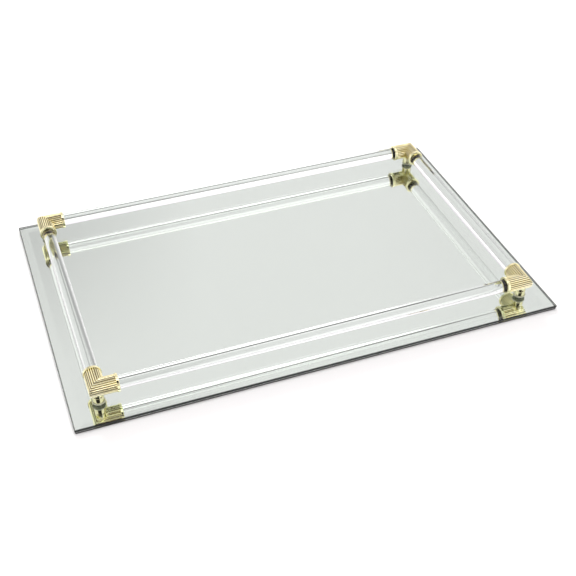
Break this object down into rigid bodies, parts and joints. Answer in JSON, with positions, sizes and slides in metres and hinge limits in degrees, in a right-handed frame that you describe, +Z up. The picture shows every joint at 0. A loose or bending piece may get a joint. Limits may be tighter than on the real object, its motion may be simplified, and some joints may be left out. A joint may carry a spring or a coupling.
{
  "type": "dresser vanity tray",
  "caption": "Rectangular bevelled mirror plate on low ring feet, edged by a raised gallery of clear round rods in reeded gold corner elbows; holds perfume bottles and jewellery.",
  "frame": {"origin": "on the standing surface, under the middle of the plate", "axes": "+X along the long side, +Y towards the back, +Z up through the mirror"},
  "size_m": [0.46, 0.3, 0.0298],
  "materials": {
    "mirror_glass": "clear float glass with polished edges and a ground, polished bevel",
    "silver_backing": "silvering with a smooth grey protective coat underneath",
    "clear_acrylic": "clear polished acrylic rod",
    "polished_gold": "bright gold plating, reeded along the sockets",
    "soft_washer": "translucent soft washer",
    "plated_steel": "plated steel hardware",
    "foot_rubber": "matte dark rubber"
  },
  "bodies": {
    "root": {"mirror_glass": "mirror_glass", "mirror_backing": "silver_backing", "rod_front": "clear_acrylic", "rod_back": "clear_acrylic", "rod_left": "clear_acrylic", "rod_right": "clear_acrylic", "corner_elbow_front_left": "polished_gold", "post_front_left": "polished_gold", "seat_washer_front_left": "soft_washer", "clamp_screw_front_left": "plated_steel", "foot_front_left": "foot_rubber", "corner_elbow_front_right": "polished_gold", "post_front_right": "polished_gold", "seat_washer_front_right": "soft_washer", "clamp_screw_front_right": "plated_steel", "foot_front_right": "foot_rubber", "corner_elbow_back_right": "polished_gold", "post_back_right": "polished_gold", "seat_washer_back_right": "soft_washer", "clamp_screw_back_right": "plated_steel", "foot_back_right": "foot_rubber", "corner_elbow_back_left": "polished_gold", "post_back_left": "polished_gold", "seat_washer_back_left": "soft_washer", "clamp_screw_back_left": "plated_steel", "foot_back_left": "foot_rubber"}
  },
  "joints": []
}
